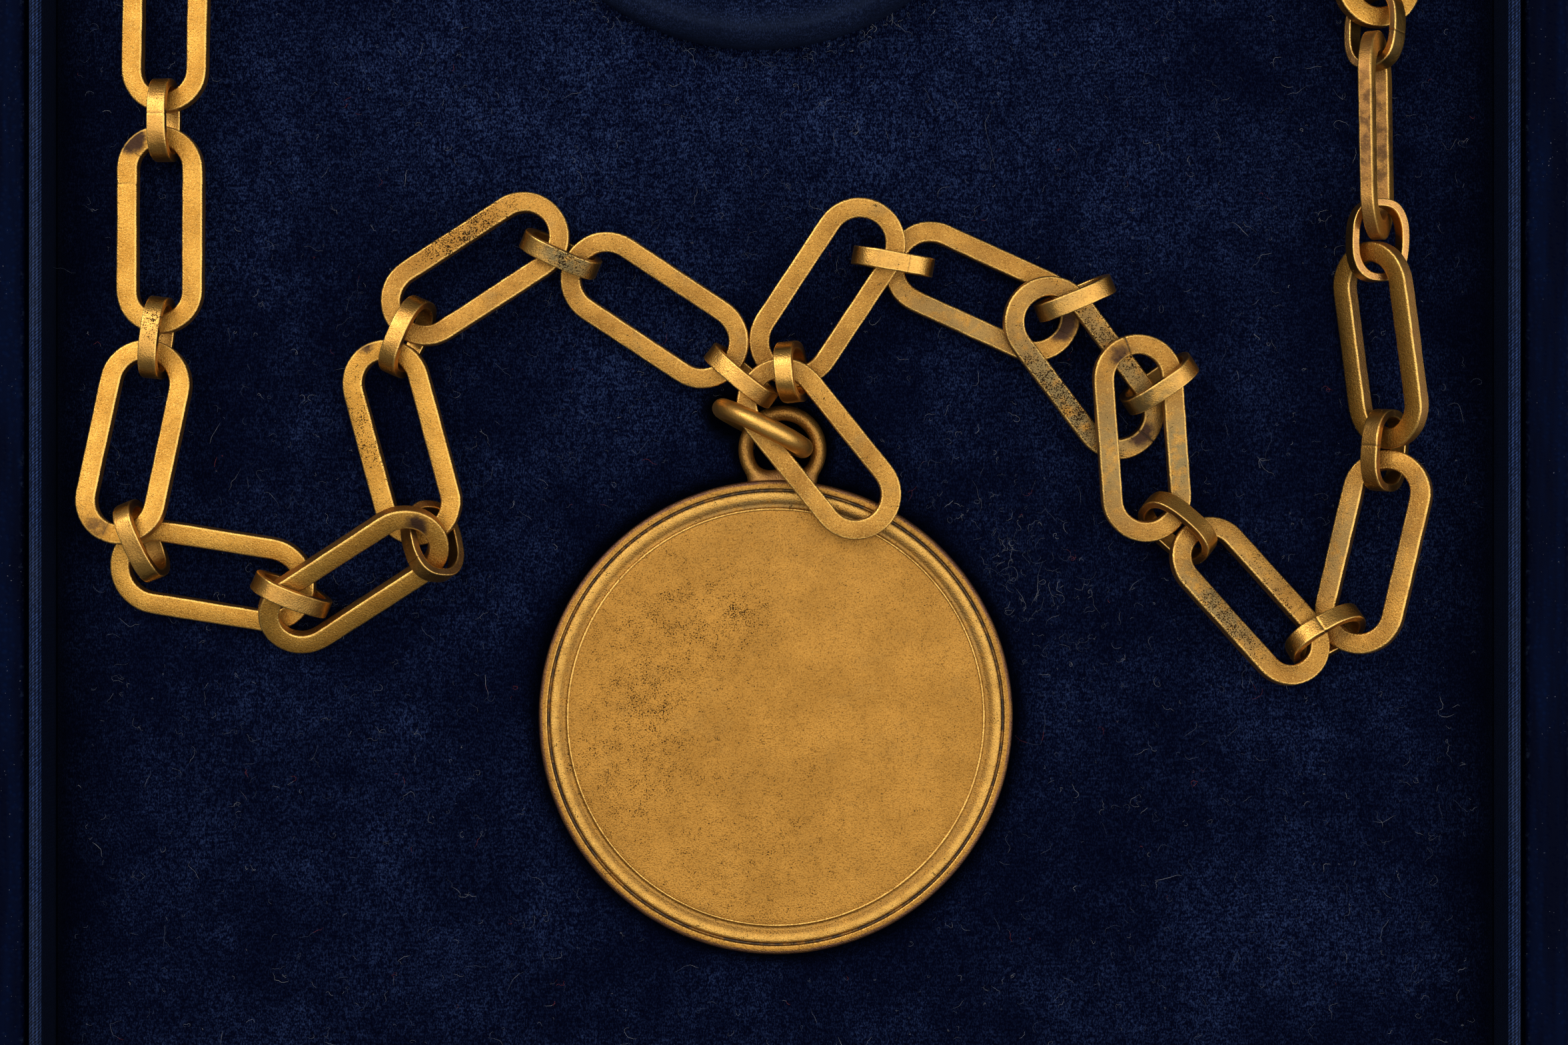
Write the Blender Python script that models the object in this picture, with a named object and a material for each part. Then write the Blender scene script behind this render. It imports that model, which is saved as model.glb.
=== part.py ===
"""Commemorative medal on a chain of long flat links, lying in an open presentation case.

Metres, +Z up, +Y towards the far end of the case, where the chain goes round a raised disc.
The case stands on z = 0 with its middle on the origin. Sizes below are in millimetres.
"""
import bpy
import bmesh
import numpy as np
from math import cos, sin, pi, radians
from mathutils import Matrix

MM = 0.001

# ---------------------------------------------------------------- case
INNER_X = 184.2          # inside the silk lip
INNER_Y = 248.2
LIP_WALL = 1.6           # silk-covered inner wall
LIP_GAP = 1.3            # open joint between it and the leatherette wall
TRAY_WALL = 6.5          # leatherette wall outside it
SLIP = 0.3               # fitting gap between the pieces of the case
FLOOR = 4.0              # tray floor
PAD_TOP = 20.0           # top of the velvet over the table
TRAY_TOP = 23.0          # leatherette rim
TRAY_EDGE = 1.2          # its chamfer
LIP_TOP = 26.0           # silk lip
CORNER = 7.0             # radius of the inner corners
CORNER_STEPS = 5
PILE_EDGE = 1.0          # softened edge of the pad
ROUNDEL_X = -2.3         # raised disc at the far end
ROUNDEL_Y = 58.5
ROUNDEL_R = 34.0
ROUNDEL_TOP = 26.0
ROUNDEL_EDGE = 1.6
DISC_SIDES = 40

# ---------------------------------------------------------------- medal
MEDAL_X = 0.1
MEDAL_Y = -60.2
MEDAL_Z = PAD_TOP + 0.55     # its middle plane
MEDAL_SIDES = 60
# struck face from the middle outwards: radius, height over the middle plane
FACE = (
    (0.0, 1.25),
    (26.4, 1.25),        # flat field
    (26.6, 1.45),        # fine raised line
    (26.9, 1.22),        # hollow inside the moulding
    (27.6, 1.27),
    (27.9, 1.78),        # rounded moulding
    (28.35, 1.95),
    (28.8, 1.75),
    (29.05, 1.40),       # groove
    (29.2, 1.62),        # outer band
    (29.7, 1.62),
    (30.1, 1.10),        # rounded edge
)
# plainer back, from the edge inwards
BACK = (
    (30.1, -1.10),
    (29.7, -1.62),
    (28.8, -1.75),
    (28.35, -1.95),
    (27.9, -1.78),
    (27.6, -1.25),
    (0.0, -1.25),
)
EYE_X = 0.95
EYE_Y = -26.2
EYE_R = 4.65             # centre line of the eye
EYE_WIRE = 0.95          # radius of its wire
# soldered foot of the eye, seen from above: distance from the eye's middle, half width
EYE_FOOT = (
    (-4.9, 5.0),
    (-4.1, 4.9),
    (-3.5, 4.3),
    (-2.8, 4.0),
    (-2.4, 3.4),
)
RING_X = -1.55           # jump ring, standing nearly upright in its slot
RING_Y = -23.6
RING_Z = PAD_TOP + 3.7
RING_R = 5.7
RING_WIRE = 1.15
RING_TURN = -26.0        # direction of its plane, degrees from +X
RING_LEAN = 2.0         # its top leans over to the near side, degrees

# seat of the medal in the pad
SEAT_R = 31.8
SEAT_DEPTH = 1.5
SEAT_EDGE = 1.2          # rounding of the pile
EYE_SEAT_R = 7.0
EYE_SEAT_DEPTH = 0.9
SLOT_LENGTH = 15.6       # slot for the jump ring
SLOT_WIDTH = 6.0
SLOT_DEPTH = 3.6

# ---------------------------------------------------------------- chain
LINK_THICK = 1.9
SIDE_BAR = 2.4
END_BAR = 2.55
LINK_STEPS = 8           # steps round each rounded end
BAND_LENGTH = 10.4       # connector, outside
BAND_HEIGHT = 7.7
BAND_WIDTH = 2.0
BAND_THICK = 1.0
BAND_ROUNDING = 2.5      # exponent of its oval
BAND_STEPS = 20

# Long links in order, from the far left round to the far right. x and y from the middle of
# the case, z over the velvet, heading from +X; pitch lifts the leading end, and roll lifts
# the side to the left of the heading.
# number, x, y, z, heading, pitch, roll, length, width
LONG_LINKS = (
    (1, -76.8, 29.3, 3.60, -91.0, 0.0, 4.5, 26.2, 11.0),
    (2, -77.5, 1.4, 3.60, -90.2, 0.0, 2.5, 26.2, 11.0),
    (3, -80.7, -25.4, 4.50, -101.0, 4.5, 4.0, 26.2, 11.6),
    (4, -71.1, -42.2, 2.60, -9.0, 1.0, 8.0, 26.2, 12.0),
    (5, -52.9, -42.7, 5.50, 32.5, 5.0, 30.0, 26.5, 11.2),
    (6, -47.0, -25.4, 3.55, 105.0, 1.0, -5.5, 26.5, 11.2),
    (7, -37.8, -3.5, 3.50, 33.0, 0.0, -3.0, 26.2, 11.5),
    (8, -15.15, -8.7, 3.60, -33.5, 0.0, 6.0, 26.2, 11.9),
    (9, 5.55, -26.25, 4.70, -51.0, -4.5, 0.0, 26.2, 11.6),
    (10, 6.6, -6.5, 4.45, 56.2, 6.2, 3.0, 26.2, 11.7),
    (11, 26.2, -6.3, 2.50, -24.5, 0.0, 0.0, 26.2, 11.8),
    (12, 38.9, -16.0, 4.10, -52.0, -8.0, 0.0, 26.2, 11.6),
    (13, 46.1, -24.9, 5.15, -85.2, -5.0, -2.0, 26.2, 11.3),
    (14, 59.7, -45.4, 4.85, -48.0, 0.5, -11.0, 25.0, 10.4),
    (15, 75.5, -39.2, 4.00, 77.0, 1.2, -26.0, 26.2, 11.3),
    (16, 76.1, -13.2, 5.20, 97.5, 0.0, -52.0, 26.2, 11.6),
    (17, 75.4, 13.0, 5.90, 91.0, 0.0, 65.0, 26.2, 11.7),
    (18, 75.8, 40.0, 3.70, 91.0, 0.0, 13.0, 26.2, 11.6),
)
# Connectors: heading is that of the oval's long axis, and lean tips the top of the band over
# to the right of the heading.
# number, x, y, z, heading, pitch, lean
CONNECTORS = (
    (1, -77.0, 15.2, 3.97, -90.0, 0.0, 4.0),
    (2, -77.9, -12.2, 3.97, -97.0, 0.0, 4.0),
    (3, -79.8, -37.8, 4.20, -67.0, -12.0, 9.0),
    (4, -60.8, -44.5, 4.90, -21.5, -40.0, 6.0),
    (5, -43.2, -37.85, 4.15, -76.0, 20.0, 46.0),
    (6, -46.3, -12.1, 4.02, 66.0, 0.0, -16.0),
    (7, -27.0, -1.6, 4.02, -24.5, 0.0, 14.0),
    (8, -4.2, -17.0, 4.50, -41.0, 15.0, 10.0),
    (9, 2.1, -16.6, 5.45, 5.0, -78.0, 90.0),
    (10, 14.9, -2.6, 4.05, -9.8, 0.0, 4.0),
    (11, 37.8, -7.2, 4.00, 22.5, 4.0, 7.0),
    (12, 48.4, -18.0, 4.30, 34.0, 8.0, 13.0),
    (13, 50.7, -36.2, 4.40, -41.0, 3.0, -32.0),
    (14, 69.45, -49.7, 3.83, 29.0, 0.0, -32.0),
    (15, 76.9, -26.4, 4.00, 86.0, 0.0, -44.0),
    (16, 75.6, -0.1, 5.75, 89.0, 1.0, -78.0),
    (17, 75.6, 26.6, 4.20, 87.0, -8.0, 44.0),
)

# The stretch for the back of the neck, laid in an arch round the raised disc.
BACK_LINKS = 8
BACK_LEFT = (-76.6, 43.4)    # joint next to long link 1
BACK_RIGHT = (75.5, 54.1)    # joint next to long link 18
BACK_RISE = 65.0             # height of the arch over the line between the two
BACK_LENGTH = 26.2
BACK_WIDTH = 11.4
BACK_Z = 3.6
BACK_BAND_Z = 3.97
BACK_STEPS = 5               # this stretch is plainer
BACK_BAND_STEPS = 12
BACK_BITE = 0.45             # how far each band is let into the end bar of its link


# ---------------------------------------------------------------- helpers
def material(name, color, metallic, roughness, sheen=0.0):
    """Principled material with one plain colour."""
    mat = bpy.data.materials.new(name)
    mat.use_nodes = True
    node = mat.node_tree.nodes["Principled BSDF"]
    node.inputs["Base Color"].default_value = (*color, 1.0)
    node.inputs["Metallic"].default_value = metallic
    node.inputs["Roughness"].default_value = roughness
    node.inputs["Sheen Weight"].default_value = sheen
    return mat


def finish_mesh(bm, name, mat):
    """Scale to metres, turn the faces outwards and shade the round parts smooth."""
    bmesh.ops.scale(bm, vec=(MM, MM, MM), verts=bm.verts)
    bmesh.ops.recalc_face_normals(bm, faces=bm.faces)
    mesh = bpy.data.meshes.new(name)
    bm.to_mesh(mesh)
    bm.free()
    mesh.materials.append(mat)
    mesh.shade_smooth()
    mesh.set_sharp_from_angle(angle=radians(35.0))
    return mesh


def place(name, mesh, location, rotation=(0.0, 0.0, 0.0)):
    """Object in the case, location in millimetres and rotation in degrees."""
    obj = bpy.data.objects.new(name, mesh)
    obj.location = [c * MM for c in location]
    obj.rotation_euler = [radians(a) for a in rotation]
    bpy.context.scene.collection.objects.link(obj)
    return obj


def boolean(target, tool, operation):
    """Exact Boolean with a helper body that is kept out of the result."""
    tool.hide_render = True
    tool.display_type = "WIRE"
    mod = target.modifiers.new(tool.name, "BOOLEAN")
    mod.operation = operation
    mod.solver = "EXACT"
    mod.object = tool


def rounded_rectangle(size_x, size_y, radius, z):
    """Outline with rounded corners at height z."""
    points = []
    for side_x, side_y, start in ((1, 1, 0), (-1, 1, 90), (-1, -1, 180), (1, -1, 270)):
        for k in range(CORNER_STEPS + 1):
            a = radians(start + 90.0 * k / CORNER_STEPS)
            x = side_x * (size_x / 2 - radius) + radius * cos(a)
            y = side_y * (size_y / 2 - radius) + radius * sin(a)
            points.append((x, y, z))
    return points


def stadium(length, width, steps, z):
    """Outline with two round ends, long along x."""
    r = width / 2
    s = length / 2 - r
    angles = [-pi / 2 + pi * k / steps for k in range(steps + 1)]
    lead = [(s + r * cos(a), r * sin(a), z) for a in angles]
    return lead + [(-x, -y, z) for x, y, z in lead]


def superoval(length, height, steps, y):
    """Squarish oval standing up, long along x."""
    points = []
    power = 2 / BAND_ROUNDING
    for k in range(steps):
        c = cos(2 * pi * k / steps)
        s = sin(2 * pi * k / steps)
        x = length / 2 * np.sign(c) * abs(c) ** power
        z = height / 2 * np.sign(s) * abs(s) ** power
        points.append((x, y, z))
    return points


def skin(outlines, name, mat, closed=False):
    """Bridge each outline to the next; the last joins the first, or both ends get a cap."""
    bm = bmesh.new()
    loops = [[bm.verts.new(p) for p in outline] for outline in outlines]
    count = len(outlines[0])
    following = loops[1:] + (loops[:1] if closed else [])
    for near, far in zip(loops, following):
        for i in range(count):
            j = (i + 1) % count
            bm.faces.new((near[i], near[j], far[j], far[i]))
    if not closed:
        bm.faces.new(loops[0])
        bm.faces.new(loops[-1])
    return finish_mesh(bm, name, mat)


def turned(profile, sides, name, mat):
    """Spin a profile of radius and height, which starts and ends on the axis."""
    bm = bmesh.new()
    verts = [bm.verts.new((r, 0.0, z)) for r, z in profile]
    edges = [bm.edges.new(pair) for pair in zip(verts, verts[1:])]
    bmesh.ops.spin(bm, geom=verts + edges, cent=(0, 0, 0), axis=(0, 0, 1), angle=2 * pi,
                   steps=sides, use_merge=True)
    bmesh.ops.remove_doubles(bm, verts=bm.verts, dist=0.0001)
    return finish_mesh(bm, name, mat)


def wire_ring(radius, wire, name, mat):
    """Round wire bent to a ring, lying flat."""
    around = 24
    across = 8
    bm = bmesh.new()
    section = bmesh.ops.create_circle(bm, segments=across, radius=wire,
                                      matrix=Matrix.Translation((radius, 0, 0))
                                      @ Matrix.Rotation(pi / 2, 4, "X"))
    edges = list({e for v in section["verts"] for e in v.link_edges})
    bmesh.ops.spin(bm, geom=section["verts"] + edges, cent=(0, 0, 0), axis=(0, 0, 1),
                   angle=2 * pi, steps=around, use_merge=True)
    bmesh.ops.remove_doubles(bm, verts=bm.verts, dist=0.0001)
    return finish_mesh(bm, name, mat)


# ---------------------------------------------------------------- case
def build_case(leather, silk, velvet):
    """Tray, silk lip, velvet pad with the medal's seat, and the raised disc."""
    well_gap = LIP_WALL + LIP_GAP
    well = (INNER_X + 2 * well_gap, INNER_Y + 2 * well_gap, CORNER + well_gap)
    outside = (well[0] + 2 * TRAY_WALL, well[1] + 2 * TRAY_WALL, well[2] + TRAY_WALL)
    chamfered = (outside[0] - 2 * TRAY_EDGE, outside[1] - 2 * TRAY_EDGE, outside[2] - TRAY_EDGE)
    tray = skin([
        rounded_rectangle(*chamfered, 0.0),
        rounded_rectangle(*outside, TRAY_EDGE),
        rounded_rectangle(*outside, TRAY_TOP - TRAY_EDGE),
        rounded_rectangle(*chamfered, TRAY_TOP),
        rounded_rectangle(*well, TRAY_TOP),
        rounded_rectangle(*well, FLOOR),
    ], "case_tray", leather)
    place("case_tray", tray, (0, 0, 0))

    # silk wall: straight inside and outside, rolled over the top
    half = LIP_WALL / 2
    foot = FLOOR + SLIP
    section = [(LIP_WALL, foot)]
    for a in (0, 35, 70, 110, 145, 180):
        section.append((half + half * cos(radians(a)), LIP_TOP - half + half * sin(radians(a))))
    section.append((0.0, foot))
    lip = skin([rounded_rectangle(INNER_X + 2 * d, INNER_Y + 2 * d, CORNER + d, z)
                for d, z in section], "case_lip", silk, closed=True)
    place("case_lip", lip, (0, 0, 0))

    side = (INNER_X - 2 * SLIP, INNER_Y - 2 * SLIP, CORNER - SLIP)
    top = (side[0] - 2 * PILE_EDGE, side[1] - 2 * PILE_EDGE, side[2] - PILE_EDGE)
    pad_mesh = skin([
        rounded_rectangle(*side, foot),
        rounded_rectangle(*side, PAD_TOP - PILE_EDGE),
        rounded_rectangle(*top, PAD_TOP),
    ], "velvet_pad", velvet)
    pad = place("velvet_pad", pad_mesh, (0, 0, 0))
    above = 3.0
    seat = turned((
        (0.0, -SEAT_DEPTH),
        (SEAT_R, -SEAT_DEPTH),
        (SEAT_R, -SEAT_EDGE),
        (SEAT_R + 0.3 * SEAT_EDGE, -0.4 * SEAT_EDGE),
        (SEAT_R + SEAT_EDGE, 0.0),
        (SEAT_R + SEAT_EDGE, above),
        (0.0, above),
    ), DISC_SIDES, "medal_seat", velvet)
    boolean(pad, place("medal_seat", seat, (MEDAL_X, MEDAL_Y, PAD_TOP)), "DIFFERENCE")
    eye_seat = turned((
        (0.0, -EYE_SEAT_DEPTH),
        (EYE_SEAT_R, -EYE_SEAT_DEPTH),
        (EYE_SEAT_R, above),
        (0.0, above),
    ), 24, "eye_seat", velvet)
    boolean(pad, place("eye_seat", eye_seat, (EYE_X, EYE_Y, PAD_TOP)), "DIFFERENCE")
    slot = skin([
        stadium(SLOT_LENGTH, SLOT_WIDTH, 6, -SLOT_DEPTH),
        stadium(SLOT_LENGTH, SLOT_WIDTH, 6, above),
    ], "ring_slot", velvet)
    boolean(pad, place("ring_slot", slot, (RING_X, RING_Y, PAD_TOP), (0, 0, RING_TURN)),
            "DIFFERENCE")

    low = PAD_TOP + SLIP
    profile = [(0.0, low), (ROUNDEL_R - 0.5, low), (ROUNDEL_R, low + 1.0)]
    for a in (0, 30, 60, 90):
        r = ROUNDEL_R - ROUNDEL_EDGE + ROUNDEL_EDGE * cos(radians(a))
        profile.append((r, ROUNDEL_TOP - ROUNDEL_EDGE + ROUNDEL_EDGE * sin(radians(a))))
    profile.append((0.0, ROUNDEL_TOP))
    disc = turned(profile, DISC_SIDES, "velvet_roundel", velvet)
    place("velvet_roundel", disc, (ROUNDEL_X, ROUNDEL_Y, 0))


# ---------------------------------------------------------------- medal
def build_medal(gilt):
    """Struck disc with its soldered eye, and the jump ring."""
    medal = place("medal", turned(FACE + BACK, MEDAL_SIDES, "medal", gilt),
                  (MEDAL_X, MEDAL_Y, MEDAL_Z))
    eye = place("eye_wire", wire_ring(EYE_R, EYE_WIRE, "eye_wire", gilt), (EYE_X, EYE_Y, MEDAL_Z))
    boolean(medal, eye, "UNION")
    right = [(half, y) for y, half in EYE_FOOT]
    outline = right + [(-x, y) for x, y in reversed(right)]
    thick = 0.85 * EYE_WIRE
    foot_mesh = skin([[(x, y, z) for x, y in outline] for z in (-thick, thick)], "eye_foot", gilt)
    boolean(medal, place("eye_foot", foot_mesh, (EYE_X, EYE_Y, MEDAL_Z)), "UNION")
    place("jump_ring", wire_ring(RING_R, RING_WIRE, "jump_ring", gilt),
          (RING_X, RING_Y, RING_Z), (90.0 - RING_LEAN, 0, RING_TURN))


# ---------------------------------------------------------------- chain
def link_mesh(length, width, steps, gilt):
    """Flat link with round ends and a long opening."""
    h = LINK_THICK / 2
    hole = (length - 2 * END_BAR, width - 2 * SIDE_BAR, steps)
    return skin([
        stadium(length, width, steps, -h),
        stadium(length, width, steps, h),
        stadium(*hole, h),
        stadium(*hole, -h),
    ], "long_link", gilt, closed=True)


def band_mesh(steps, gilt):
    """Short strip bent to an oval, standing on edge."""
    h = BAND_WIDTH / 2
    hole = (BAND_LENGTH - 2 * BAND_THICK, BAND_HEIGHT - 2 * BAND_THICK, steps)
    return skin([
        superoval(BAND_LENGTH, BAND_HEIGHT, steps, -h),
        superoval(BAND_LENGTH, BAND_HEIGHT, steps, h),
        superoval(*hole, h),
        superoval(*hole, -h),
    ], "connector", gilt, closed=True)


def arch_joints():
    """Joints of the back stretch, evenly spaced along half an ellipse."""
    left = np.array(BACK_LEFT)
    right = np.array(BACK_RIGHT)
    angle = np.linspace(0.0, pi, 400)
    curve = (left + right) / 2 - np.outer(np.cos(angle), (right - left) / 2)
    curve[:, 1] += BACK_RISE * np.sin(angle)
    steps = np.linalg.norm(np.diff(curve, axis=0), axis=1)
    along = np.concatenate([[0.0], np.cumsum(steps)])
    wanted = np.linspace(0.0, along[-1], BACK_LINKS + 1)
    return [np.array([np.interp(w, along, curve[:, 0]), np.interp(w, along, curve[:, 1])])
            for w in wanted]


def build_back(gilt):
    """Each piece is a long link with the band at its near end let into its end bar; the
    last piece carries the band at its far end too."""
    joints = arch_joints()
    runs = [b - a for a, b in zip(joints, joints[1:])]
    headings = [np.degrees(np.arctan2(run[1], run[0])) for run in runs]
    # the visible neighbours on both sides point along the same way round
    before = [LONG_LINKS[0][4] + 180.0] + headings
    after = headings + [LONG_LINKS[-1][4] - 180.0]
    link = link_mesh(BACK_LENGTH, BACK_WIDTH, BACK_STEPS, gilt)
    band = band_mesh(BACK_BAND_STEPS, gilt)
    arc = BACK_LENGTH / 2 - BACK_WIDTH / 2
    reach = BACK_WIDTH / 2 - END_BAR + BACK_BITE + BAND_LENGTH / 2 - BAND_THICK
    for k, heading in enumerate(headings):
        middle = (joints[k] + joints[k + 1]) / 2
        piece = place(f"chain_back_{k + 1}", link, (middle[0], middle[1], PAD_TOP + BACK_Z),
                      (0, 0, heading))
        ends = [(-1, k)]
        if k == BACK_LINKS - 1:
            ends.append((1, k + 1))
        for end, joint in ends:
            turn = (before[joint] + after[joint]) / 2
            along = np.array([cos(radians(heading)), sin(radians(heading))])
            out = np.array([cos(radians(turn)), sin(radians(turn))])
            spot = middle + end * (arc * along + reach * out)
            tool = place(f"back_band_{joint}", band, (spot[0], spot[1], PAD_TOP + BACK_BAND_Z),
                         (0, 0, turn))
            boolean(piece, tool, "UNION")


def build_chain(gilt):
    """Visible links and connectors one by one, then the back stretch."""
    links = {}
    for number, x, y, z, heading, pitch, roll, length, width in LONG_LINKS:
        if (length, width) not in links:
            links[length, width] = link_mesh(length, width, LINK_STEPS, gilt)
        place(f"long_link_{number:02d}", links[length, width], (x, y, PAD_TOP + z),
              (roll, -pitch, heading))
    band = band_mesh(BAND_STEPS, gilt)
    for number, x, y, z, heading, pitch, lean in CONNECTORS:
        place(f"connector_{number:02d}", band, (x, y, PAD_TOP + z), (lean, -pitch, heading))
    build_back(gilt)


for item in list(bpy.data.objects):
    bpy.data.objects.remove(item)

LEATHER = material("case_leatherette", (0.012, 0.014, 0.03), 0.0, 0.55)
SILK = material("case_silk", (0.03, 0.05, 0.14), 0.0, 0.42, 0.4)
VELVET = material("case_velvet", (0.004, 0.008, 0.035), 0.0, 0.9, 0.6)
GILT = material("gilt_metal", (0.62, 0.38, 0.10), 1.0, 0.42)

build_case(LEATHER, SILK, VELVET)
build_medal(GILT)
build_chain(GILT)
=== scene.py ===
import math

import bpy
import numpy as np
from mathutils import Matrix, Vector, noise


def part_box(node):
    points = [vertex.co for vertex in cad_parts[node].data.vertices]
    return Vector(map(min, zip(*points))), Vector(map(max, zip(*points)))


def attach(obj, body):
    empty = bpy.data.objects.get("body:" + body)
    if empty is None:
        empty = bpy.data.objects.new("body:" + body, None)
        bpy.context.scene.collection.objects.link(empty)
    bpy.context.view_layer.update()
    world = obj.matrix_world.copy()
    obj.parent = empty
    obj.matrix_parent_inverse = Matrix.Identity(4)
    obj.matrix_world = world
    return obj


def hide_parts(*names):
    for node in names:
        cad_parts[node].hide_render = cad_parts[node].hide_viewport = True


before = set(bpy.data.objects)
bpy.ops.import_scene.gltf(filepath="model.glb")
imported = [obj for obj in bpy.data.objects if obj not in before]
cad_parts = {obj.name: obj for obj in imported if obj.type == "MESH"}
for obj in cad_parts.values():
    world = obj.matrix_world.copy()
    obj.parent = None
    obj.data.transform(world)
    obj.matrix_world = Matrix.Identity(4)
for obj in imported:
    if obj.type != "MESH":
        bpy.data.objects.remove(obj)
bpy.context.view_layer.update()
noise.seed_set(1)            # the metal's unevenness is the same in each run

# ---------- driving sizes, millimetres
MM = 0.001

LONG_LINKS = [f"long_link_{i:02d}" for i in range(1, 19)]
CONNECTORS = [f"connector_{i:02d}" for i in range(1, 18)]
BACK_PIECES = [f"chain_back_{i}" for i in range(1, 9)]
BRIGHT_LINKS = 6             # how many links from the left end keep their first brightness
DULL_LINKS = 9               # how many after them have gone mellow; the rest are bright again

SIDE_BAR = 2.4               # long link: width of its side bars and end bars, and its thickness
END_BAR = 2.55
LINK_THICK = 1.9
LINK_EDGE = 0.18             # rounding of its edges
LINK_DOME = 0.12             # how much lower its faces are at their sides than in the middle
LINK_FULL = 0.26             # how much its side bars swell inwards
LINK_WOBBLE = 0.10           # how much its outline draws in here and there
BAND_THICK = 1.0             # connector: its strip in the frame
BAND_WIDTH = 2.0
BAND_FULL = 0.37             # how much wider its strip is than in the frame
BAND_EDGE = 0.15             # rounding of its edges
BAND_ROUNDING = 2.5          # exponent of its oval
BAND_WOBBLE = 0.05
BAND_LENGTH = 10.5
BAND_SLACK = 1.03            # how far a band behind the neck slides to hang clear of its link
RING_FULL = 1.10             # how much thicker the jump ring's wire is than its facets reach
SEAM_DEPTH = 0.07            # how deep a soldered seam is sunk
HAMMERED = 0.04              # unevenness of links and connectors
HAMMER_SIZE = 1.5            # width of its dents

FIELD = 1.25                 # medal: height of its field over the middle plane
LINE_R = 26.40               # fine raised line round the field
LINE_HALF = 0.17
MOULDING_R = 28.25           # crest of the rounded moulding
GROOVE_IN = 28.64            # dark groove outside it
GROOVE_OUT = 28.97
SIDE_R = 29.60               # where the rounded edge starts
EYE_R = 4.65                 # centre line of the eye
EYE_WIRE = 0.95              # radius of its wire
EYE_TIP = 0.6                # how near the eye's top its highest points are

CASE_CORNER = 7.0            # radius of the case's inner corners
LIP_WALL = 1.6
LIP_GAP = 1.3                # open joint between the silk wall and the leatherette
TRAY_WALL = 6.5
TRAY_FLOOR = 4.0
TRAY_SOFT = 2.8              # rounding of the tray's rim outside and inside, and of its foot
TRAY_LINE = 0.7
TRAY_FOOT = 1.0
PAD_CORNER = 6.7
PAD_STEP = 0.62              # spacing of the velvet's points
PAD_SWELL = 0.12             # gentle unevenness of its surface
SEAT_R = 31.8                # seat of the medal in the velvet
SEAT_DEPTH = 1.5
EYE_SEAT_R = 7.0
EYE_SEAT_DEPTH = 0.9
SLOT_HALF = 4.8              # slot for the jump ring: half its straight part, radius, depth
SLOT_R = 3.0
SLOT_DEPTH = 3.6
PILE_ROW = 0.46              # spacing of the velvet's rows of tufts
SILK_RIB = 0.42              # spacing of the silk's slanting ribs and of its columns
SILK_COLUMN = 0.52
ROUNDEL_SOFT = 2.2           # rounding of the raised disc's edge

STRANDS = 3300               # lint all over the velvet, beside the medal, and round the disc
TUFT_STRANDS = 320
DISC_STRANDS = 300
TUFT_X = 27.0
TUFT_Y = -44.0

CAMERA_HEIGHT = 350.0        # over the velvet
CAMERA_X = 1.15
CAMERA_Y = -35.5
LENS = 63.0

# Colours, linear red, green and blue
SPECK_BROWN = (0.17, 0.068, 0.010)
# painted highlight colour, for glints and bright edges
GLINT_GOLD = (1.0, 0.60, 0.15)
TARNISH_GREY = (0.215, 0.153, 0.063)
FLANK_ORANGE = (0.36, 0.170, 0.070)
FLANK_PURPLE = (0.130, 0.062, 0.048)
HEAT_BROWN = (0.074, 0.038, 0.023)
GROOVE_DARK = (0.070, 0.050, 0.036)
PIT_BROWN = (0.040, 0.020, 0.009)
VELVET_DEEP = (0.0006, 0.0010, 0.0046)
VELVET_PILE = (0.0027, 0.0047, 0.0235)
VELVET_TIPS = (0.025, 0.043, 0.106)
# painted shade on the velvet and on the silk wall
PAINTED_SHADE_NAVY = (0.0004, 0.0006, 0.0026)
VELVET_WORN_HIGHLIGHT = (0.020, 0.030, 0.060)
SILK_DEEP = (0.0012, 0.0026, 0.0100)
SILK_RIDGE = (0.021, 0.045, 0.140)
SILK_FADED = (0.028, 0.038, 0.064)
LEATHER_DEEP = (0.0008, 0.0016, 0.0075)
LEATHER_BLUE = (0.0014, 0.0050, 0.024)
LEATHER_RUBBED = (0.030, 0.042, 0.080)
DUST_PALE = (0.10, 0.10, 0.12)
LINT_DIM = (0.055, 0.070, 0.115)
LINT_PALE = (0.28, 0.29, 0.32)
LINT_RED = (0.22, 0.040, 0.050)

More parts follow.
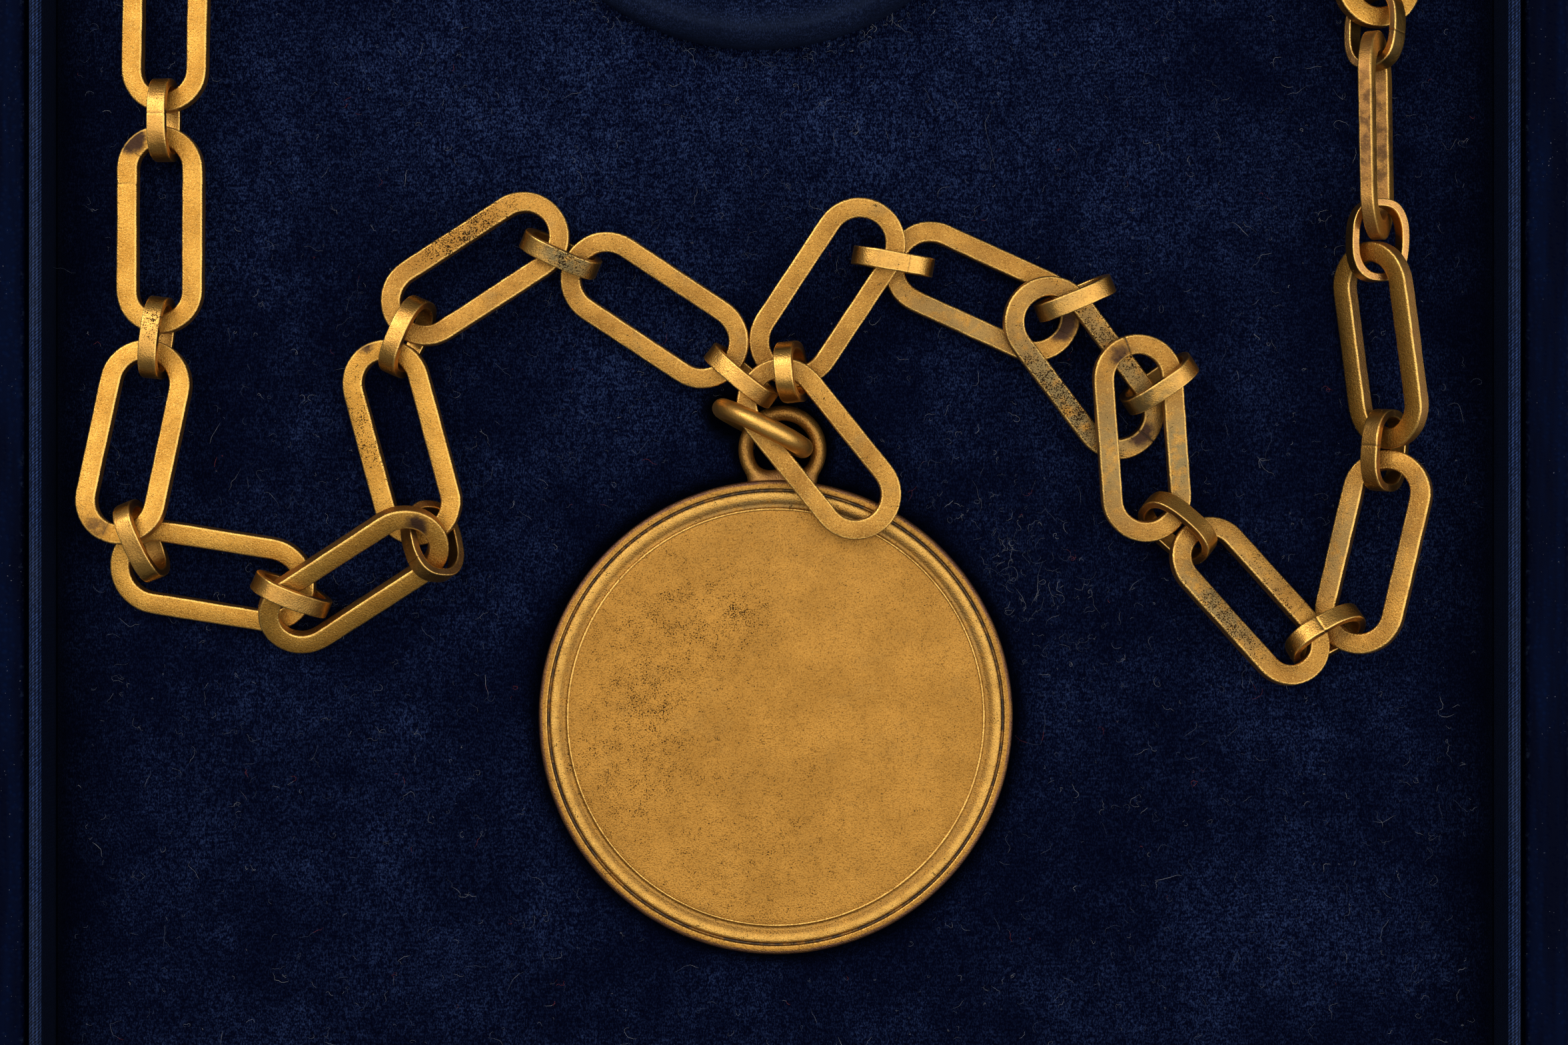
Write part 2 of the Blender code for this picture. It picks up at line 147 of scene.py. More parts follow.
# Stains on the metal by kind: brown is heat colour left by soldering, grey is green-grey tarnish,
# and pits are black specks. Piece, x and y in the case, radius, all in millimetres, and strength.
STAINS = {"brown": (
    ("long_link_02", -81.2, 13.0, 2.2, 1.0),
    ("long_link_03", -85.0, -36.0, 2.4, 0.5),
    ("long_link_05", -44.8, -36.1, 2.0, 0.7),
    ("long_link_06", -51.6, -13.0, 1.8, 0.6),
    ("long_link_11", 36.2, -10.3, 2.4, 1.0),
    ("long_link_12", 46.0, -24.0, 2.0, 0.9),
    ("long_link_13", 43.0, -14.5, 1.6, 0.7),
    ("long_link_17", 74.6, 13.0, 12.0, 0.5),
), "grey": (
    ("connector_07", -26.0, -2.0, 4.0, 1.0),
    ("connector_11", 33.0, -5.0, 5.0, 0.7),
    ("connector_12", 45.5, -20.0, 5.0, 0.7),
    ("connector_17", 76.5, 24.0, 4.0, 0.6),
    ("long_link_11", 22.0, -12.0, 9.0, 0.6),
    ("long_link_12", 38.0, -19.0, 12.0, 0.9),
    ("long_link_13", 41.7, -27.0, 9.0, 0.7),
    ("long_link_13", 50.5, -27.0, 6.0, 0.9),
    ("long_link_14", 55.0, -46.0, 8.0, 0.8),
    ("long_link_15", 72.0, -38.0, 7.0, 0.6),
    ("long_link_16", 72.0, -12.0, 8.0, 0.3),
    ("medal", 27.0, -47.0, 9.0, 0.6),
    ("medal", 3.0, -33.0, 18.0, 0.8),
), "pits": (
    ("connector_02", -77.9, -10.5, 2.5, 1.0),
    ("connector_07", -25.5, -2.3, 3.5, 1.0),
    ("long_link_06", -51.5, -24.0, 7.0, 0.8),
    ("long_link_07", -40.0, 2.2, 7.0, 1.0),
    ("long_link_12", 36.5, -20.0, 9.0, 1.0),
    ("long_link_12", 42.0, -12.5, 8.0, 0.8),
    ("long_link_14", 58.0, -47.0, 8.0, 0.8),
    ("medal", -14.0, -50.0, 10.0, 0.45),
    ("medal", -16.5, -57.5, 6.0, 0.55),
    ("medal", -17.0, -66.0, 10.0, 0.40),
    ("medal", -3.0, -76.0, 14.0, 0.20),
    ("medal", -4.6, -46.8, 2.2, 0.8),
    ("medal", -4.6, -46.8, 5.5, 0.45),
)}

# Patches of velvet where the pile lies over, with painted sheen: x, y, radius across and along,
# strength.
NAP = (
    (-30.0, 20.0, 34.0, 22.0, 0.75),
    (12.0, 18.0, 40.0, 22.0, 0.75),
    (-62.0, 22.0, 18.0, 26.0, 0.35),
    (47.0, 6.0, 14.0, 12.0, 0.35),
    (-17.0, -12.0, 13.0, 12.0, 0.55),
    (62.0, -88.0, 13.0, 12.0, 0.45),
    (34.0, -20.0, 8.0, 8.0, 0.30),
    (-10.0, -1.0, 14.0, 9.0, 0.30),
    (-40.0, -75.0, 14.0, 20.0, 0.15),
)

# Soldered seams, cut a little into the metal: piece, x and y in the case in millimetres, strength.
SEAMS = (
    ("long_link_02", -81.8, 12.0, 0.4),
    ("long_link_02", -82.9, 7.4, 0.3),
    ("long_link_03", -84.8, -37.0, 0.5),
    ("long_link_11", 35.8, -11.3, 0.5),
    ("long_link_12", 46.4, -24.6, 1.0),
    ("long_link_13", 44.8, -13.6, 1.0),
    ("long_link_14", 66.5, -46.3, 0.6),
    ("connector_01", -78.7, 16.2, 0.3),
    ("connector_05", -40.8, -37.3, 0.5),
    ("connector_10", 16.4, -2.6, 0.5),
    ("connector_14", 68.6, -49.1, 0.5),
    ("connector_15", 76.8, -25.7, 0.5),
    ("connector_17", 73.1, 26.4, 0.5),
)


# ---------- meshes
def build(name, verts, rings, count, mat, closed_rings=True, marks=None, caps=False):
    """Object from rings of points in metres; each ring joins the next, and the last the first
    where closed_rings is set. marks holds one float per vertex for each named attribute."""
    faces = []
    last = rings if closed_rings else rings - 1
    for i in range(last):
        a = i * count
        b = (i + 1) % rings * count
        for j in range(count):
            k = (j + 1) % count
            faces.append((a + j, b + j, b + k, a + k))
    if caps:
        faces.append(tuple(range(count)))
        faces.append(tuple(range(rings * count - 1, (rings - 1) * count - 1, -1)))
    return add_mesh(name, verts, faces, mat, marks)


def add_mesh(name, verts, faces, mat, marks=None):
    """Object from points in metres and faces, with its attributes."""
    mesh = bpy.data.meshes.new(name)
    mesh.from_pydata([tuple(map(float, v)) for v in verts], [], faces)
    mesh.materials.append(mat)
    mesh.shade_smooth()
    for key, values in (marks or {}).items():
        layer = mesh.attributes.new(key, "FLOAT", "POINT")
        layer.data.foreach_set("value", np.asarray(values, dtype=np.float32))
    obj = bpy.data.objects.new(name, mesh)
    bpy.context.scene.collection.objects.link(obj)
    return obj


def node_points(node):
    """Distinct vertices of a node of the frame, in metres."""
    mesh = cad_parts[node].data
    points = np.empty(len(mesh.vertices) * 3)
    mesh.vertices.foreach_get("co", points)
    return np.unique(points.reshape(-1, 3).round(6), axis=0)


def principal_axes(points):
    """Centre, and three axes from the longest extent to the shortest."""
    centre = points.mean(axis=0)
    _, axes = np.linalg.eigh(np.cov((points - centre).T))
    return centre, axes[:, ::-1].T


def arc(centre, radii, start, end, steps):
    """Points round a part of an ellipse, angles in degrees."""
    out = []
    for k in range(steps + 1):
        a = math.radians(start + (end - start) * k / steps)
        out.append((centre[0] + radii[0] * math.cos(a), centre[1] + radii[1] * math.sin(a)))
    return out


def bar_section(width, height, radius, flank_across):
    """Cross-section of a bar with rounded edges: across, up, and how near each point is to an
    edge and to a flank. The flanks are its ends across where flank_across is set."""
    steps = 3
    points = []
    edge = []
    flank = []
    for turn, (sx, sy) in enumerate(((1, 1), (-1, 1), (-1, -1), (1, -1))):
        cx = sx * (width / 2 - radius)
        cy = sy * (height / 2 - radius)
        for k in range(steps + 1):
            a = math.radians(90 * turn + 90 * k / steps)
            points.append((cx + radius * math.cos(a), cy + radius * math.sin(a)))
            edge.append(1.0)
            flank.append(abs(math.cos(a)) if flank_across else abs(math.sin(a)))
        upright = turn % 2 == 1
        x0, y0 = points[-1]
        step = (0, -2 * cy) if upright else (-2 * cx, 0)
        for u in (0.05, 0.28, 0.5, 0.72, 0.95):
            points.append((x0 + step[0] * u, y0 + step[1] * u))
            edge.append(0.0)
            flank.append(1.0 if upright == flank_across else 0.0)
    return np.array(points), np.array(edge), np.array(flank)


def wander(rng, count, waves):
    """Smooth closed random curve between -1 and 1."""
    t = np.arange(count) * 2 * math.pi / count
    total = np.zeros(count)
    for k in range(1, waves + 1):
        total += rng.normal(0, 1 / k ** 0.5) * np.sin(k * t + rng.uniform(0, 2 * math.pi))
    return total / np.abs(total).max()


def with_seams(inner, outer, cuts):
    """Outlines with four close stations for each cut, and how deep each station is cut."""
    count = len(inner)
    stations = [(float(k), 0.0) for k in range(count)]
    for cut, strength in cuts:
        stations += [((cut + shift) % count, depth * strength) for shift, depth in
                     ((-0.12, 0.0), (-0.04, 1.0), (0.04, 1.0), (0.12, 0.0))]
    stations.sort()
    at = np.array([t for t, _ in stations])
    low = at.astype(int) % count
    share = (at - at.astype(int))[:, None]
    inner, outer = [line[low] * (1 - share) + line[(low + 1) % count] * share
                    for line in (inner, outer)]
    return inner, outer, np.array([depth for _, depth in stations])


def swept_ring(inner, outer, cut, section, seed, wobble, dome):
    """Bar swept round a closed link from its inner and outer outlines in the link's plane.
    Each outline draws in a little here and there, as worn handwork does."""
    rng = np.random.default_rng(seed)
    count = len(inner)
    across = outer - inner
    width = np.linalg.norm(across, axis=1)
    side, up = section[0].T
    side = side / np.ptp(side)
    high = np.abs(up).max()
    draw = wobble * (0.5 + 0.5 * wander(rng, count, 7)) + 2 * SEAM_DEPTH * cut
    thin = 1 - 0.04 * (0.5 + 0.5 * wander(rng, count, 5)) - SEAM_DEPTH * cut / high
    share = np.outer(1 - draw / width, side)
    flat = (inner + outer)[:, None] / 2 + across[:, None] * share[..., None]
    lift = np.outer(thin, up) - dome * (2 * side) ** 2 * up / high
    return np.concatenate([flat, lift[..., None]], axis=2).reshape(-1, 3)


def roughened(verts, seed, amount, size):
    """Points shifted a little, as hammering and wear leave a surface."""
    out = []
    shift = Vector((seed * 7.3, seed * 3.1, seed * 1.7))
    for v in verts:
        out.append(Vector(v) + amount * noise.noise_vector(Vector(v) / size + shift))
    return np.array(out)


def stadium_pair(length, width):
    """Inner and outer outlines of a long link, with matching points."""
    steps = 20
    outlines = []
    for side_bar, end_bar in ((SIDE_BAR + LINK_FULL, END_BAR), (0.0, 0.0)):
        r = width / 2 - side_bar
        reach = length / 2 - end_bar - r
        points = []
        for side in (1, -1):
            points += [(side * x, side * y) for x, y in arc((reach, 0), (r, r), -90, 90, steps)[:-1]]
            points += [(side * (1 - 2 * k / steps) * reach, side * r) for k in range(steps)]
        outlines.append(np.array(points))
    return outlines


def oval_pair(length, height):
    """Inner and outer outlines of a connector, with matching points."""
    steps = 72
    a = np.arange(steps) * 2 * math.pi / steps
    unit = np.stack([np.cos(a), np.sin(a)], axis=1)
    unit = np.sign(unit) * np.abs(unit) ** (2 / BAND_ROUNDING)
    return [unit * (length / 2 - thick, height / 2 - thick) for thick in (BAND_THICK, 0.0)]


def stain_marks(piece, verts):
    """Strength of each kind of stain at each vertex, from the table of stains."""
    marks = {}
    for kind, rows in STAINS.items():
        marks[kind] = np.zeros(len(verts))
        for name, x, y, radius, strength in rows:
            if name == piece:
                far = np.hypot(verts[:, 0] - x * MM, verts[:, 1] - y * MM) / (radius * MM)
                marks[kind] = np.maximum(marks[kind], strength * np.clip(1.4 - far, 0, 1))
    return marks


LINK_SECTION = bar_section(SIDE_BAR, LINK_THICK, LINK_EDGE, True)
BAND_SECTION = bar_section(BAND_THICK, BAND_WIDTH + BAND_FULL, BAND_EDGE, False)


def metal_ring(name, node, outlines, matrix, seed, mat, upright):
    """A link, or a connector where upright is set, in its place: swept, roughened, seamed and
    stained."""
    section = BAND_SECTION if upright else LINK_SECTION
    inner, outer = outlines
    cuts = []
    for piece, x, y, strength in SEAMS:
        if piece == node:
            line = (inner + outer) / 2
            flat = np.stack([line[:, 0], 0 * line[:, 0], line[:, 1]] if upright else
                            [line[:, 0], line[:, 1], 0 * line[:, 0]], axis=1)
            spots = flat * MM @ matrix[:3, :3].T + matrix[:3, 3]
            lift = spots[:, 2] - spots[:, 2].max()
            far = np.hypot(spots[:, 0] - x * MM, spots[:, 1] - y * MM) - lift * upright
            cuts.append((int(np.argmin(far)) + 0.5, strength))
    inner, outer, cut = with_seams(inner, outer, cuts)
    verts = swept_ring(inner, outer, cut, section, seed, BAND_WOBBLE if upright else LINK_WOBBLE,
                       0.0 if upright else LINK_DOME)
    if upright:
        verts = np.stack([verts[:, 0], -verts[:, 2], verts[:, 1]], axis=1)
    verts = roughened(verts, seed, HAMMERED, HAMMER_SIZE)
    placed = verts * MM @ matrix[:3, :3].T + matrix[:3, 3]
    marks = stain_marks(node, placed)
    # bright line along the rounded edges: rubbed wear and painted highlight
    marks["edge"] = np.tile(section[1], len(inner))
    marks["flank"] = np.tile(section[2], len(inner))
    marks["groove"] = np.repeat(cut, len(section[0]))
    piece = build(name, placed, len(inner), len(section[0]), mat, marks=marks)
    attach(piece, "root")
    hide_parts(node)


def pose_matrix(centre, x_axis, z_axis):
    """Matrix whose columns are the piece's own axes."""
    x_axis = x_axis / np.linalg.norm(x_axis)
    y_axis = np.cross(z_axis, x_axis)
    y_axis = y_axis / np.linalg.norm(y_axis)
    matrix = np.eye(4)
    matrix[:3, :3] = np.stack([x_axis, y_axis, np.cross(x_axis, y_axis)], axis=1)
    matrix[:3, 3] = centre
    return matrix


# ---------- materials
class Shader:
    """A node material with short ways to add and join its nodes."""

    def __init__(self, name):
        self.mat = bpy.data.materials.new(name)
        self.mat.use_nodes = True
        self.tree = self.mat.node_tree
        self.bsdf = self.tree.nodes["Principled BSDF"]
        self.position = self.tree.nodes.new("ShaderNodeNewGeometry").outputs["Position"]

    def feed(self, node, feeds):
        """Sets sockets of a node to numbers or colours, or joins them to other sockets."""
        for key, value in feeds.items():
            if isinstance(value, bpy.types.NodeSocket):
                self.tree.links.new(value, node.inputs[key])
            else:
                node.inputs[key].default_value = value

    def node(self, kind, feeds, **settings):
        """New node with its properties set and its sockets fed."""
        made = self.tree.nodes.new(kind)
        for key, value in settings.items():
            setattr(made, key, value)
        self.feed(made, feeds)
        return made

    def math(self, operation, a, b=0.0, clamp=False):
        return self.node("ShaderNodeMath", {0: a, 1: b}, operation=operation,
                         use_clamp=clamp).outputs[0]

    def times(self, a, b, clamp=False):
        return self.math("MULTIPLY", a, b, clamp)

    def plus(self, a, b):
        return self.math("ADD", a, b)

    def noise(self, size, detail=2.0, rough=0.5, stretch=None):
        """Noise whose features are about size millimetres across, from 0 to 1."""
        source = self.position
        if stretch:
            source = self.node("ShaderNodeVectorMath", {0: source, 1: stretch},
                               operation="MULTIPLY").outputs[0]
        feeds = {"Vector": source, "Scale": 1 / (size * MM), "Detail": detail, "Roughness": rough}
        return self.node("ShaderNodeTexNoise", feeds).outputs["Fac"]

    def cells(self, size):
        """Distance to the nearest of scattered points about size millimetres apart."""
        feeds = {"Vector": self.position, "Scale": 1 / (size * MM)}
        return self.node("ShaderNodeTexVoronoi", feeds, feature="F1").outputs["Distance"]

    def step(self, value, low, high):
        """Smooth rise from 0 at low to 1 at high."""
        feeds = {"Value": value, "From Min": low, "From Max": high}
        return self.node("ShaderNodeMapRange", feeds,
                         interpolation_type="SMOOTHSTEP").outputs["Result"]

    def mark(self, name):
        """Value of a named attribute."""
        return self.node("ShaderNodeAttribute", {}, attribute_name=name).outputs["Fac"]

    def mix(self, base, top, amount):
        """Colour base covered by top."""
        base, top = [(*c, 1.0) if isinstance(c, tuple) else c for c in (base, top)]
        feeds = {"Factor": amount, "A": base, "B": top}
        return self.node("ShaderNodeMix", feeds, data_type="RGBA").outputs["Result"]

    def blend(self, a, b, amount):
        """Number between a and b."""
        feeds = {"Factor": amount, "A": a, "B": b}
        return self.node("ShaderNodeMix", feeds, data_type="FLOAT").outputs["Result"]

    def bump(self, height, depth, below=None):
        """Bump of depth millimetres, over another one where below is given."""
        feeds = {"Strength": 1.0, "Distance": depth * MM, "Height": height}
        if below is not None:
            feeds["Normal"] = below
        return self.node("ShaderNodeBump", feeds).outputs["Normal"]

    def finish(self, color, roughness, normal=None, metallic=0.0):
        """Joins the results to the shader."""
        feeds = {"Base Color": color, "Roughness": roughness, "Metallic": metallic}
        if normal is not None:
            feeds["Normal"] = normal
        self.feed(self.bsdf, feeds)
        return self.mat


def gilt_material(name, light, deep, flank_colour, flank_brown, tarnish, pit_base, blast, sparkle, gloss,
                  dent):
    """Matte sandblasted gilding: grain with painted glints, cloudy colour, dark specks, brown flanks,
    tarnish, pits and edges rubbed bright, with painted highlight on them. The third colour is the
    flanks' colour; blast scales the grain, sparkle its glints, gloss the polish and dent the
    unevenness."""
    s = Shader(name)
    cloud = s.noise(6.0, 3.0, 0.55)
    color = s.mix(light, deep, s.step(cloud, 0.34, 0.66))
    grain = s.noise(0.21, 2.0, 0.66)
    dark = s.times(s.step(grain, 0.50, 0.66), 0.75 * blast)
    color = s.mix(color, SPECK_BROWN, dark)
    # painted glints: small bright flecks in the colour
    glint = s.step(s.noise(0.18, 2.0, 0.6), 0.54, 0.68)
    color = s.mix(color, GLINT_GOLD, s.times(glint, sparkle))

    blotch = s.noise(1.5, 4.0, 0.65)
    haze = s.times(s.step(s.noise(4.0, 4.0, 0.62), 0.52, 0.72), tarnish)
    grey = s.times(s.mark("grey"), s.step(blotch, 0.30, 0.56))
    grey = s.math("MAXIMUM", grey, haze)
    color = s.mix(color, TARNISH_GREY, grey)
    flank = s.times(s.mark("flank"), flank_brown)
    flank = s.times(flank, s.blend(0.55, 1.0, s.step(s.noise(2.5, 3.0, 0.6), 0.3, 0.65)))
    # the flanks take their own browner colour
    color = s.mix(color, flank_colour, flank)
    brown = s.times(s.mark("brown"), s.blend(0.75, 1.0, s.step(blotch, 0.4, 0.6)))
    color = s.mix(color, HEAT_BROWN, s.step(brown, 0.25, 0.62))

    # painted highlight along edges and crests, partly real rubbed wear
    rub_and_highlight = s.blend(0.45, 1.0, s.step(s.noise(2.2, 3.0, 0.6), 0.28, 0.60))
    edge = s.times(s.mark("edge"), rub_and_highlight)
    color = s.mix(color, GLINT_GOLD, s.times(edge, s.blend(0.55, 0.9, glint)))
    deep_soil = s.blend(0.35, 1.0, s.step(blotch, 0.38, 0.58))
    color = s.mix(color, GROOVE_DARK, s.times(s.mark("groove"), deep_soil))

    level = s.plus(s.mark("pits"), pit_base)
    gather = s.times(s.noise(1.3, 2.0, 0.5), 0.30)
    gather = s.plus(gather, s.times(level, 0.15))
    pits = s.step(s.plus(s.noise(0.18, 2.0, 0.62), gather), 0.855, 0.905)
    color = s.mix(color, PIT_BROWN, pits)

    rough = s.blend(0.46 - 0.16 * gloss, 0.54 - 0.14 * gloss, s.step(cloud, 0.3, 0.7))
    rough = s.blend(rough, 0.34, edge)
    rough = s.blend(rough, 0.72, s.math("MAXIMUM", pits, brown))
    dents = s.bump(s.noise(1.9, 2.0, 0.5), dent)
    blasted = s.bump(grain, 0.085 * blast, dents)
    sunk = s.bump(s.math("SUBTRACT", 1.0, pits), 0.05, blasted)
    return s.finish(color, rough, sunk, metallic=1.0)


def velvet_material():
    """Navy velvet: rows of short tufts, lighter patches where the pile lies over with painted sheen,
    and painted shade, almost black, in its recesses and along the walls."""
    s = Shader("velvet")
    split = s.node("ShaderNodeSeparateXYZ", {0: s.position})
    sway = s.times(s.noise(1.1, 3.0, 0.6), 1.3 * MM)
    along = s.plus(split.outputs["Y"], sway)
    rows = s.math("SINE", s.times(along, 2 * math.pi / (PILE_ROW * MM)))
    rows = s.plus(s.times(rows, 0.5), 0.5)
    tufts = s.noise(0.20, 2.0, 0.62, stretch=(1.4, 0.6, 1.0))
    clumps = s.blend(s.noise(0.60, 2.0, 0.5), rows, 0.16)
    pile = s.blend(tufts, clumps, 0.28)
    over = s.step(s.noise(13.0, 5.0, 0.62), 0.36, 0.68)
    streak = s.step(s.noise(2.6, 3.0, 0.6, stretch=(1.0, 0.6, 1.0)), 0.35, 0.70)
    patch = s.times(over, s.blend(0.5, 1.0, streak))
    # painted sheen on the patches where the pile lies over
    nap_and_sheen = s.times(s.mark("nap_and_sheen"), s.blend(0.45, 1.0, streak))
    patch = s.plus(s.times(patch, 0.62), nap_and_sheen)
    lit = s.step(pile, 0.34, 0.68)
    color = s.mix(VELVET_DEEP, VELVET_PILE, s.times(lit, s.plus(patch, 0.40), True))
    tips = s.times(s.step(pile, 0.46, 0.70), s.plus(patch, 0.11), True)
    color = s.mix(color, VELVET_TIPS, tips)
    # lighter where worn, partly painted highlight on the raised disc's rounded edge
    color = s.mix(color, VELVET_WORN_HIGHLIGHT, s.times(s.mark("worn"), s.blend(0.3, 0.9, tufts)))
    # painted shade, almost black, in the recesses, at the disc's foot, on the pad's sides and by the
    # walls
    color = s.mix(color, PAINTED_SHADE_NAVY, s.mark("shade"))
    normal = s.bump(pile, 0.20, s.bump(s.noise(4.5, 3.0, 0.6), 0.35))
    s.feed(s.bsdf, {"Sheen Weight": 0.03, "Sheen Roughness": 0.5,
                    "Sheen Tint": (0.25, 0.38, 0.9, 1.0), "Specular IOR Level": 0.0})
    return s.finish(color, 0.95, normal)


def silk_material():
    """Ribbed navy silk: fine slanting ribs in narrow columns round the wall."""
    s = Shader("silk")
    along = s.mark("along")
    up = s.mark("up")
    slant = s.plus(along, s.times(up, 0.8))
    wobble = s.times(s.noise(1.5, 2.0, 0.5), 0.3)
    ribs = s.math("SINE", s.times(s.plus(slant, wobble), 2 * math.pi / SILK_RIB))
    columns = s.math("SINE", s.times(up, 2 * math.pi / SILK_COLUMN))
    weave = s.plus(s.times(ribs, 0.26), s.times(columns, 0.24))
    weave = s.plus(weave, 0.5)
    slub = s.noise(0.45, 3.0, 0.7)
    color = s.mix(SILK_DEEP, SILK_RIDGE, s.step(weave, 0.30, 0.85))
    color = s.mix(color, SILK_DEEP, s.times(s.step(slub, 0.42, 0.62), 0.7))
    faded = s.step(s.noise(16.0, 3.0, 0.6), 0.4, 0.65)
    color = s.mix(color, SILK_FADED, s.times(faded, s.times(weave, 0.35)))
    # painted shade low on the wall's inner face, where the lip marks its points
    color = s.mix(color, PAINTED_SHADE_NAVY, s.times(s.mark("edge"), 0.85))
    normal = s.bump(weave, 0.12, s.bump(slub, 0.08))
    s.feed(s.bsdf, {"Sheen Weight": 0.02, "Sheen Roughness": 0.4,
                    "Sheen Tint": (0.25, 0.4, 0.9, 1.0), "Specular IOR Level": 0.05})
    return s.finish(color, s.blend(0.42, 0.62, slub), normal)


def leather_material():
    """Dark navy leatherette: pressed grain, worn edges and small chips of dust."""
    s = Shader("leatherette")
    grain = s.cells(0.75)
    creases = s.step(grain, 0.12, 0.55)
    cloud = s.noise(9.0, 4.0, 0.6, stretch=(3.5, 0.3, 1.0))
    color = s.mix(LEATHER_DEEP, LEATHER_BLUE, s.step(cloud, 0.35, 0.7))
    color = s.mix(color, LEATHER_DEEP, s.times(creases, 0.5))
    rub = s.times(s.mark("edge"), s.step(s.noise(1.1, 4.0, 0.75), 0.52, 0.70))
    color = s.mix(color, LEATHER_RUBBED, s.times(rub, 0.6))
    gather = s.step(s.noise(9.0, 3.0, 0.6), 0.45, 0.7)
    dust = s.plus(s.noise(0.26, 1.0, 0.5), s.times(gather, 0.05))
    dust = s.step(dust, 0.785, 0.82)
    color = s.mix(color, DUST_PALE, dust)
    normal = s.bump(creases, 0.06, s.bump(s.noise(0.35, 3.0, 0.6), 0.02))
    s.feed(s.bsdf, {"Specular IOR Level": 0.007})
    rough = s.blend(0.26, 0.42, s.step(cloud, 0.3, 0.7))
    return s.finish(color, rough, normal)


def lint_material():
    """Pale cotton fibre."""
    s = Shader("lint")
    tone = s.step(s.noise(3.0, 2.0, 0.5), 0.42, 0.70)
    color = s.mix(LINT_DIM, LINT_PALE, tone)
    color = s.mix(color, LINT_RED, s.step(s.noise(5.0, 1.0, 0.5, stretch=(1, 1, 0)), 0.66, 0.68))
    s.feed(s.bsdf, {"Specular IOR Level": 0.2})
    return s.finish(color, 0.8)


# ---------- chain
def chain_links(gilt, rubbed):
    """Fine long links and connectors, each in the place of its node."""
    for nodes, upright in ((LONG_LINKS, False), (CONNECTORS, True)):
        for number, node in enumerate(nodes, 1):
            points = node_points(node)
            centre, axes = principal_axes(points)
            length, width, _ = np.ptp((points - centre) @ axes.T / MM, axis=0)
            if upright:
                metal_ring(f"band_{number:02d}", node, oval_pair(length, width),
                           pose_matrix(centre, axes[0], axes[1]), number + 40, rubbed, True)
            else:
                up = axes[2] * math.copysign(1, axes[2][2])
                metal_ring(f"link_{number:02d}", node, stadium_pair(length, width),
                           pose_matrix(centre, axes[0], up), number, gilt[number - 1], False)


def smallest_rectangle(points):
    """Middle, direction, length and width of the smallest rectangle round flat points."""
    best = None
    for degrees in np.arange(0.0, 180.0, 0.25):
        a = math.radians(degrees)
        along = np.array([math.cos(a), math.sin(a)])
        side = np.array([-along[1], along[0]])
        u = points @ along
        v = points @ side
        if best is None or np.ptp(u) * np.ptp(v) < best[0]:
            middle = along * (u.min() + u.max()) / 2 + side * (v.min() + v.max()) / 2
            best = (np.ptp(u) * np.ptp(v), middle, along, np.ptp(u), np.ptp(v))
    _, middle, along, length, width = best
    if length < width:
        return middle, np.array([-along[1], along[0]]), width, length
    return middle, along, length, width


def chain_back(gilt, rubbed):
    """Fine links and bands of the stretch behind the neck."""
    up = np.array([0.0, 0.0, 1.0])
    for number, node in enumerate(BACK_PIECES, 1):
        points = node_points(node)
        levels, counts = np.unique(points[:, 2].round(5), return_counts=True)
        faces = np.sort(levels[np.argsort(counts)[-2:]])
        flat = points[np.abs(points[:, 2] - faces[1]) < 1e-5][:, :2]
        middle, along, length, width = smallest_rectangle(flat)
        matrix = pose_matrix([*middle, faces.mean()], np.array([*along, 0.0]), up)
        metal_ring(f"back_link_{number}", node, stadium_pair(length / MM, width / MM), matrix,
                   number + 80, gilt, False)
        raised = points[(points[:, 2] > faces[1] + 1e-4) | (points[:, 2] < faces[0] - 1e-4)]
        for side, letter in ((1, "b"), (-1, "a")):
            part = raised[(raised[:, :2] - middle) @ along * side > 0]
            if len(part) < 8:
                continue
            spot, axes = principal_axes(part)
            ahead = axes[0] * (1, 1, 0)
            ahead = ahead / np.linalg.norm(ahead)
            inward = ahead * -math.copysign(1, ahead[:2] @ along * side)
            place = spot + inward * BAND_SLACK * MM
            place[2] = (part[:, 2].min() + part[:, 2].max()) / 2
            metal_ring(f"back_band_{number}{letter}", node,
                       oval_pair(BAND_LENGTH, np.ptp(part[:, 2]) / MM),
                       pose_matrix(place, ahead, up), number + 100, rubbed, True)


# ---------- medal
def turned(profile, centre, sides):
    """Points turned about a vertical axis from radius and height in millimetres."""
    a = np.arange(sides) * 2 * math.pi / sides
    rings = [np.stack([r * np.cos(a), r * np.sin(a), np.full(sides, z)], axis=1) for r, z in profile]
    return np.concatenate(rings) * MM + centre


def disc_place():
    """Middle of the medal's disc, leaving out its eye, and its radius."""
    low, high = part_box("medal")
    radius = (high.x - low.x) / 2
    return Vector(((low.x + high.x) / 2, low.y + radius, (low.z + high.z) / 2)), radius


def eye_place():
    """Middle of the medal's eye."""
    low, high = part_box("medal")
    points = node_points("medal")
    tip = points[points[:, 1] > high.y - EYE_TIP * MM]
    return Vector((tip[:, 0].mean(), high.y - (EYE_R + EYE_WIRE) * MM, (low.z + high.z) / 2))


